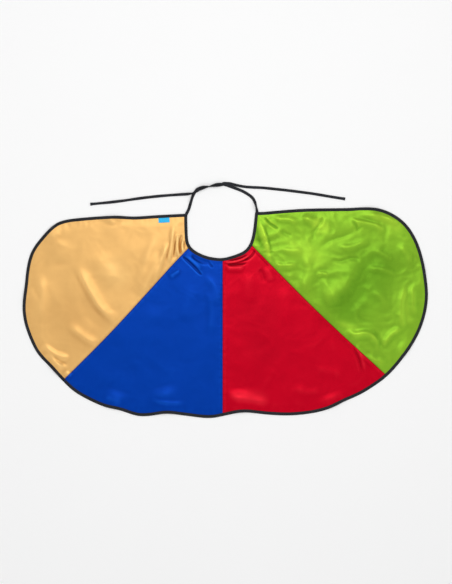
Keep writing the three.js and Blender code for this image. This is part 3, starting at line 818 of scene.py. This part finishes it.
def makeStitchShape():
    # one plump thread along X, its size 2 each way
    mesh = bmesh.new()
    bmesh.ops.create_uvsphere(mesh, u_segments=6, v_segments=4, radius=1)
    corners = np.array([vert.co[:] for vert in mesh.verts])
    faces = steadyFaces(mesh)
    mesh.free()
    return corners[:, [2, 0, 1]], faces


stitchShape, stitchFaces = makeStitchShape()


def addStitches(mesh, line, ways, levels, length, radius):
    # a thread at each point of the line
    for place, way, level in zip(line, ways, levels):
        along = np.array([*way, 0]) / math.hypot(*way)
        across = np.array([-along[1], along[0], 0])
        corners = stitchShape[:, :1] * along * length / 2 + stitchShape[:, 1:2] * across * radius
        corners = corners + stitchShape[:, 2:] * (0, 0, radius) + (*place, level)
        addFaces(mesh, corners, stitchFaces)


def sewAlong(name, edge, inward):
    # a row of machine stitches on the top of the tape and another underneath
    line = evenly(edge, binding["stitchEvery"])
    shares = [np.linspace(0, 1, len(points)) for points in (line, edge)]
    inner = np.column_stack([np.interp(*shares, inward[:, k]) for k in range(2)])
    line = line + inner * binding["stitchIn"] * mm
    ways = np.gradient(line, axis=0)
    levels, up = levelAt(line), binding["stitchUp"]
    levels = np.column_stack([levels + up, levels - up])
    twice = [np.repeat(values[1:-1], 2, axis=0) for values in (line, ways)]
    mesh = bmesh.new()
    addStitches(mesh, *twice, levels[1:-1].ravel(), binding["stitchLength"], binding["stitchRadius"])
    return newPiece(name, mesh)


join = int(np.linalg.norm(rim - binding["join"], axis=1).argmin())
hemMiddle = int(np.abs(rim[:, 0] - foldX)[300:-300].argmin()) + 300
neckMiddle = int(np.abs(neck[:, 0] - foldX).argmin())
rim[hemMiddle, 0] = neck[neckMiddle, 0] = foldX
# piece, edge, the side that the cloth is on, first and last point, the tape's node and its body
bound = [
    ("wing_binding", rim, 1, 0, join, "outer_binding_left_wing", "left_half"),
    ("hem_binding_left", rim, 1, join + 1, hemMiddle, "outer_binding_left_hem", "fold"),
    ("rim_binding_right", rim, 1, hemMiddle, len(rim) - 1, "outer_binding_right", "fold"),
    ("neck_binding_left_tape", neck, -1, 0, neckMiddle, "neck_binding_left", "fold"),
    ("neck_binding_right_tape", neck, -1, neckMiddle, len(neck) - 1, "neck_binding_right", "fold"),
]
sewn = []  # piece, slot, body and the node that it stands for
for panel, name, body in zip(panels, panelNames, ("left_half", "fold", "fold", "right_half")):
    sewn.append((panel, panel.name, body, name))
for number, (name, edge, sign, first, last, node, body) in enumerate(bound):
    stretch = evenly(edge[first:last + 1], binding["step"])
    inward = leftOf(stretch) * sign
    if name in ("rim_binding_right", "neck_binding_right_tape"):
        inward[0] = lastInward  # it carries on from the stretch before
    lastInward = inward[-1]
    sewn.append((bindEdge(name, stretch, inward, number * 7), "black_binding", body, node))
    thread = sewAlong(name + "_stitches", stretch, inward)
    sewn.append((thread, "black_thread", body, node.replace("binding", "stitching")))
print("edges bound and sewn")

# ---- under the seams: the allowance pressed to one side, its edge overlocked

allowance = {
    "step": 3.5 * mm, "clearOfRim": 7 * mm, "below": 0.52, "stitchEvery": 2.4 * mm, "threadRadius": 0.19 * mm,
    # how far each row of threads is from the seam, its slant and its stitches' length: overlock, seam
    "rows": ((7.6, 1.1, 3.2 * mm), (0.9, 0.0, 2 * mm)),
}
allowanceSection = [(-0.6, 0), (0, 0.2), (4, 0.24), (8.4, 0.22), (9, 0), (8.4, -0.22), (4, -0.24), (0, -0.2)]


def pressAllowance(name, line, side):
    inside = clearOf(finishedEdge, line, allowance["clearOfRim"])
    inside = inside[insideOf(inside, insetEdge(sheet["tuckedIn"], sheet["edgeRow"]))]
    path = evenly(inside, allowance["step"])
    inward = leftOf(path) * side
    rows = []
    for x, up in allowanceSection:
        place = path + inward * x * mm
        rows.append(np.column_stack([place, levelAt(place) + (up - allowance["below"]) * mm]))
    mesh = bmesh.new()
    skinRings(mesh, [[mesh.verts.new(row[i]) for row in rows] for i in range(len(path))])
    strip = newPiece(name, mesh)
    mesh = bmesh.new()
    path = evenly(inside, allowance["stitchEvery"])
    inward, heading = leftOf(path) * side, headings(path)
    for shift, slant, length in allowance["rows"]:
        places = path + inward * shift * mm
        levels = levelAt(places) - (allowance["below"] + 0.2) * mm
        ways = heading + inward * slant
        addStitches(mesh, places[1:-1], ways[1:-1], levels[1:-1], length, allowance["threadRadius"])
    return strip, newPiece(name + "_overlock", mesh)


for name, facts in seamFacts.items():
    strip, overlock = pressAllowance("seam_allowance_" + facts["node"], seams[name], facts["side"])
    sewn.append((strip, facts["slot"], facts["body"]))
    sewn.append((overlock, "black_thread", facts["body"], "seam_thread_" + facts["node"]))
print("seam allowances pressed")

# ---- the plain folded label, sewn in at the left wing's top edge

label = {"width": 30 * mm, "length": 12.6 * mm, "layer": 0.28 * mm, "lift": 1.3 * mm, "columns": 14,
         "above": 0.45 * mm, "bow": 0.25 * mm, "softEdge": 0.06 * mm}
# down the label and up from its lower layer, as shares, over the top layer
labelSection = [(-0.02, 0.5), (0.1, 0.86), (0.3, 1.05), (0.5, 1.1), (0.7, 1.04), (0.86, 0.98), (0.96, 0.94),
                (1, 0.6)]


def makeLabel():
    pivot = Vector(joints["label_flip"]["pos_m"])
    acrossWay = Vector(joints["label_flip"]["axis"]).normalized()
    downWay = Vector((acrossWay.y, -acrossWay.x, 0))
    if downWay.y > 0:
        downWay = -downWay
    reach, layer = label["length"], label["layer"]
    section = [(along * reach, up * 2 * layer) for along, up in labelSection]
    section += [(along * reach, (0.3 + 0.3 * (along > 0.9)) * layer) for along, up in labelSection[-2::-1]]
    mesh = bmesh.new()
    rings = []
    for column in range(label["columns"] + 1):
        across = (column / label["columns"] - 0.5) * label["width"]
        ring = []
        for down, up in section:
            point = pivot + acrossWay * across + downWay * down
            bow = label["bow"] * math.cos(across / label["width"] * 5.4) * down / reach
            lift = label["lift"] * max(0, down / reach) ** 1.5 * (1 + 0.25 * math.sin(across * 160))
            point.z = levelAt([point.xy])[0] + label["above"] + up + bow + lift
            ring.append(mesh.verts.new(point))
        rings.append(ring)
    skinRings(mesh, rings)
    piece = newPiece("folded_label", mesh)
    bevel = piece.modifiers.new("soft edges", "BEVEL")
    bevel.width, bevel.segments, bevel.limit_method = label["softEdge"], 2, "ANGLE"
    return piece


sideLabel = makeLabel()
print("label folded")

# ---- node groups: threads, the painted light and shade of folds, and lint

black, white = (0, 0, 0, 1), (1, 1, 1, 1)


def connect(tree, node, values):
    # links each input to a socket, or sets it
    for key, value in values.items():
        if isinstance(value, bpy.types.NodeSocket):
            tree.links.new(value, node.inputs[key])
        else:
            node.inputs[key].default_value = value


def addNode(tree, kind, values, **settings):
    node = tree.nodes.new(kind)
    for key, value in settings.items():
        setattr(node, key, value)
    connect(tree, node, values)
    return node


def addMath(tree, operation, *values):
    return addNode(tree, "ShaderNodeMath", dict(enumerate(values)), operation=operation).outputs[0]


def addNoise(tree, vector, scale, detail):
    values = {"Vector": vector, "Scale": scale, "Detail": detail}
    return addNode(tree, "ShaderNodeTexNoise", values).outputs["Fac"]


def addWave(tree, vector, scale, distortion, bands, **values):
    values.update({"Vector": vector, "Scale": scale, "Distortion": distortion})
    return addNode(tree, "ShaderNodeTexWave", values, bands_direction=bands).outputs["Fac"]


def timesVector(tree, first, second):
    return addNode(tree, "ShaderNodeVectorMath", {0: first, 1: second}, operation="MULTIPLY").outputs[0]


def addRange(tree, value, fromLow=0, fromHigh=1, toLow=0, toHigh=1):
    values = {"Value": value, "From Min": fromLow, "From Max": fromHigh, "To Min": toLow, "To Max": toHigh}
    return addNode(tree, "ShaderNodeMapRange", values).outputs[0]


def mixColours(tree, share, first, second):
    # the colour sockets of a Mix node are its seventh and eighth, its colour result the third
    return addNode(tree, "ShaderNodeMix", {0: share, 6: first, 7: second}, data_type="RGBA").outputs[2]


def mixValues(tree, share, first, second):
    return addNode(tree, "ShaderNodeMix", {0: share, 2: first, 3: second}).outputs[0]


def newGroup(name, inputs, outputs):
    # an input with no value is a vector, one with four is a colour; "Colour" is the one output in colour
    tree = bpy.data.node_groups.new(name, "ShaderNodeTree")
    kinds = {type(None): "NodeSocketVector", tuple: "NodeSocketColor"}
    for title, value in inputs.items():
        kind = kinds.get(type(value), "NodeSocketFloat")
        socket = tree.interface.new_socket(title, in_out="INPUT", socket_type=kind)
        if value is not None:
            socket.default_value = value
    for title in outputs:
        kind = "NodeSocketColor" if title == "Colour" else "NodeSocketFloat"
        tree.interface.new_socket(title, in_out="OUTPUT", socket_type=kind)
    return tree, tree.nodes.new("NodeGroupInput").outputs, tree.nodes.new("NodeGroupOutput")


def makeThreadsGroup():
    # fine floats of thread running one way, with the crossing yarn under them
    tree, given, result = newGroup(
        "threads", {"Vector": None, "Spacing": 0.0004, "Float length": 6, "Slub": 0.4}, ("Height", "Tone"))
    scale = addMath(tree, "DIVIDE", 1.0, given["Spacing"])
    lengthwise = addMath(tree, "DIVIDE", scale, given["Float length"])
    stretch = addNode(tree, "ShaderNodeCombineXYZ", {"X": scale, "Y": lengthwise, "Z": 1.0}).outputs[0]
    place = timesVector(tree, given["Vector"], stretch)
    floats = addNoise(tree, place, 1, 1.5)
    ribs = addWave(tree, place, 0.32, 1.2, "X", Detail=1.0)
    slubs = addNoise(tree, timesVector(tree, place, (0.04, 0.12, 1)), 1, 2)
    woven = mixValues(tree, 0.45, floats, ribs)
    connect(tree, result, {"Height": mixValues(tree, given["Slub"], woven, slubs), "Tone": woven})
    return tree


def makeShadeAndToneGroup():
    # brighter on ridges and deeper in valleys: a painted highlight and a painted shade on the satins, the
    # weave's own tone on the label; and not quite even over the whole cloth
    tree, given, result = newGroup(
        "fold tones", {"Vector": None, "Stand": 0.5, "Colour": white, "Ridge": white, "Valley": black,
                       "Unevenness": 0.05}, ("Colour", "Cloud"))
    up, down = (addRange(tree, given["Stand"], 0.5, end) for end in (1.0, 0.0))
    lit = mixColours(tree, up, given["Colour"], given["Ridge"])
    deep = mixColours(tree, down, lit, given["Valley"])
    broad = addNoise(tree, given["Vector"], 9, 3)
    shift = addMath(tree, "MULTIPLY_ADD", addMath(tree, "SUBTRACT", broad, 0.5), given["Unevenness"], 1.0)
    evened = addNode(tree, "ShaderNodeVectorMath", {0: deep, "Scale": shift}, operation="SCALE").outputs[0]
    connect(tree, result, {"Colour": evened, "Cloud": broad})
    return tree


def makeLintGroup():
    # pale specks and rubbed patches on dark tape and thread
    tree, given, result = newGroup(
        "lint", {"Vector": None, "Colour": black, "Rubbed": white, "Amount": 0.3}, ("Colour", "Mask"))
    specks, patches = (addNoise(tree, given["Vector"], scale, 2) for scale in (420, 26))
    mask = addRange(tree, addMath(tree, "MULTIPLY", specks, patches), 0.2, 0.42)
    share = addMath(tree, "MULTIPLY", mask, given["Amount"])
    connect(tree, result, {"Colour": mixColours(tree, share, given["Colour"], given["Rubbed"]), "Mask": mask})
    return tree


threadsGroup, shadeAndToneGroup, lintGroup = makeThreadsGroup(), makeShadeAndToneGroup(), makeLintGroup()

# ---- materials: four satins, the binding and its thread, the label's ribbon, the table


def linear(red, green, blue):
    values = [c / 255 / 12.92 if c <= 10 else ((c / 255 + 0.055) / 1.055) ** 2.4 for c in (red, green, blue)]
    return (*values, 1)


# colours: the satin's own, a painted highlight for ridges and a painted shade for valleys; the weave's turn
# from the cape's middle, how cloudy the cloth is, and its roughness
satins = {
    "gold_satin": {"colour": linear(231, 181, 110), "ridge": linear(252, 208, 134),
                   "valley": linear(152, 84, 14), "turn": 0.9, "clouds": 0.12, "rough": 0.38},
    "blue_satin": {"colour": linear(0, 60, 167), "ridge": linear(26, 108, 234),
                   "valley": linear(0, 5, 58), "turn": -0.35, "clouds": 0.12, "rough": 0.38},
    "red_satin": {"colour": linear(198, 0, 32), "ridge": linear(255, 48, 66),
                  "valley": linear(88, 0, 10), "turn": 0.35, "clouds": 0.14, "rough": 0.38},
    "green_satin": {"colour": linear(131, 180, 43), "ridge": linear(178, 220, 60),
                    "valley": linear(76, 132, 20), "turn": -0.9, "clouds": 0.4, "rough": 0.37},
}
satinWeave = {"spacing": 0.0004, "floats": 7, "slub": 0.35, "bump": 0.00006, "metal": 0.34, "specular": 0.05,
              "roughSpread": 0.05}
tapeLook = {"colour": linear(22, 23, 28), "rubbed": linear(62, 65, 74), "lint": 0.3, "rough": 0.66,
            "spacing": 0.0005, "floats": 1.6, "slub": 0.2, "bump": 0.00008, "sheen": 0.08, "specular": 0.25}
threadLook = {"colour": linear(28, 29, 34), "rubbed": linear(66, 68, 76), "lint": 0.3, "rough": 0.55,
              "twist": 900, "bump": 0.00005}
labelLook = {"colour": linear(0, 186, 246), "ridge": linear(30, 208, 255), "valley": linear(0, 140, 206),
             "clouds": 0.1, "spacing": 0.0005, "floats": 2.2, "slub": 0.15, "bump": 0.00008, "rough": 0.5}
lintRough = 0.12  # how much rougher rubbed tape and thread are
tableLook = {"pale": (0.955, 0.955, 0.955, 1), "palest": (0.965, 0.965, 0.965, 1), "rough": 0.9,
             "specular": 0.1}


def newMaterial(name):
    material = bpy.data.materials.new(name)
    material.use_nodes = True
    tree = material.node_tree
    where = addNode(tree, "ShaderNodeTexCoord", {}).outputs
    return material, tree, tree.nodes["Principled BSDF"], where


def bumpFrom(tree, height, depth):
    return addNode(tree, "ShaderNodeBump", {"Height": height, "Strength": 1.0, "Distance": depth}).outputs[0]


def addWeave(tree, vector, look):
    return addNode(tree, "ShaderNodeGroup", {
        "Vector": vector, "Spacing": look["spacing"], "Float length": look["floats"], "Slub": look["slub"]},
        node_tree=threadsGroup).outputs


def addShadeAndTone(tree, vector, stand, look):
    return addNode(tree, "ShaderNodeGroup", {
        "Vector": vector, "Stand": stand, "Colour": look["colour"], "Ridge": look["ridge"],
        "Valley": look["valley"], "Unevenness": look["clouds"]}, node_tree=shadeAndToneGroup).outputs


def makeSatin(slot):
    look = satins[slot]
    material, tree, shader, where = newMaterial(slot)
    turned = addNode(tree, "ShaderNodeMapping", {"Vector": where["UV"], "Rotation": (0, 0, look["turn"])})
    weave = addWeave(tree, turned.outputs[0], satinWeave)
    # painted highlight and shade: the share stored on each point from the cloth's bend and the broad painted
    # sheen
    stand = addNode(tree, "ShaderNodeAttribute", {}, attribute_name="ridge").outputs["Fac"]
    tones = addShadeAndTone(tree, where["Object"], stand, look)
    spread = satinWeave["roughSpread"]
    connect(tree, shader, {
        "Base Color": tones["Colour"], "Metallic": satinWeave["metal"],
        "Roughness": addRange(tree, tones["Cloud"], 0, 1, look["rough"] - spread, look["rough"] + spread),
        "Specular IOR Level": satinWeave["specular"],
        "Normal": bumpFrom(tree, weave["Height"], satinWeave["bump"])})
    return material


def makeDark(name, look):
    # the tape is woven along its length, the thread is twisted
    material, tree, shader, where = newMaterial(name)
    worn = addNode(tree, "ShaderNodeGroup", {
        "Vector": where["Object"], "Colour": look["colour"], "Rubbed": look["rubbed"],
        "Amount": look["lint"]}, node_tree=lintGroup).outputs
    gloss = addRange(tree, worn["Mask"], 0, 1, look["rough"], look["rough"] + lintRough)
    if "twist" in look:
        height = addWave(tree, where["Object"], look["twist"], 1.0, "DIAGONAL")
    else:
        height = addWeave(tree, where["UV"], look)["Height"]
        connect(tree, shader, {"Sheen Weight": look["sheen"], "Specular IOR Level": look["specular"]})
    connect(tree, shader, {"Base Color": worn["Colour"], "Roughness": gloss,
                           "Normal": bumpFrom(tree, height, look["bump"])})
    return material


def makeRibbon():
    material, tree, shader, where = newMaterial("cyan_label")
    weave = addWeave(tree, where["Object"], labelLook)
    tones = addShadeAndTone(tree, where["Object"], weave["Tone"], labelLook)
    connect(tree, shader, {"Base Color": tones["Colour"], "Roughness": labelLook["rough"],
                           "Normal": bumpFrom(tree, weave["Height"], labelLook["bump"])})
    return material


def makeTable():
    material, tree, shader, where = newMaterial("table")
    shade = mixColours(tree, addNoise(tree, where["Object"], 3.0, 2), tableLook["pale"], tableLook["palest"])
    connect(tree, shader, {"Base Color": shade, "Roughness": tableLook["rough"],
                           "Specular IOR Level": tableLook["specular"]})
    return material


materials = {slot: makeSatin(slot) for slot in satins}
materials["black_binding"] = makeDark("black_binding", tapeLook)
materials["black_thread"] = makeDark("black_thread", threadLook)
materials["cyan_label"] = makeRibbon()
print("materials made")

# ---- the table and the studio light: a lamp behind, soft light from three sides, and a dim room

studio = {
    "room": 0.41, "keyPower": 26, "keySize": 1.2, "keyPlace": (0.02, 0.95, 3.0), "table": 60,
    "lamps": [("left fill", (-1, 0.15, 0.95), 0.5, 45), ("right fill", (1, 0.1, 0.95), 0.5, 45),
              ("front fill", (0.1, -1, 1.0), 0.5, 50)],
}


def makeTableTop():
    mesh = bmesh.new()
    bmesh.ops.create_grid(mesh, x_segments=2, y_segments=2, size=studio["table"])
    table = newPiece("table_top", mesh)
    table.data.materials.append(makeTable())


def addLamp(name, kind, power, way):
    data = bpy.data.lights.new(name, kind)
    data.energy = power
    lamp = bpy.data.objects.new(name, data)
    lamp.rotation_euler = Vector(way).to_track_quat("Z", "Y").to_euler()
    bpy.context.scene.collection.objects.link(lamp)
    return lamp


def makeLight():
    world = bpy.data.worlds.new("room")
    world.use_nodes = True
    world.node_tree.nodes["Background"].inputs["Color"].default_value = white
    world.node_tree.nodes["Background"].inputs["Strength"].default_value = studio["room"]
    bpy.context.scene.world = world
    key = addLamp("key", "AREA", studio["keyPower"], studio["keyPlace"])
    key.data.shape, key.data.size = "DISK", studio["keySize"]
    key.location = studio["keyPlace"]
    for name, way, power, wide in studio["lamps"]:
        addLamp(name, "SUN", power, way).data.angle = math.radians(wide)


makeTableTop()
makeLight()
print("table and lights set")

# ---- what each piece is made of, moves with, and stands for


def settle(piece, slot, body, *nodes):
    # gives a piece its finish and its body; "fold" is the bend between the two halves
    piece.data.materials.append(materials[slot])
    if body == "fold":
        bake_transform(piece)
    else:
        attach(piece, body)
    if nodes:
        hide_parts(*nodes)


for facts in sewn:
    settle(*facts)
settle(sideLabel, "cyan_label", "label", "side_label")
settle(leftTie, "black_binding", "fold", "left_strap", "left_tie_in_knot")
settle(rightTie, "black_binding", "fold", "right_strap", "right_tie_in_knot")
settle(knotWrap, "black_binding", "fold")
settle(leftTail, "black_binding", "left_tie_end", "left_tail")
settle(rightTail, "black_binding", "right_tie_end", "right_tail")
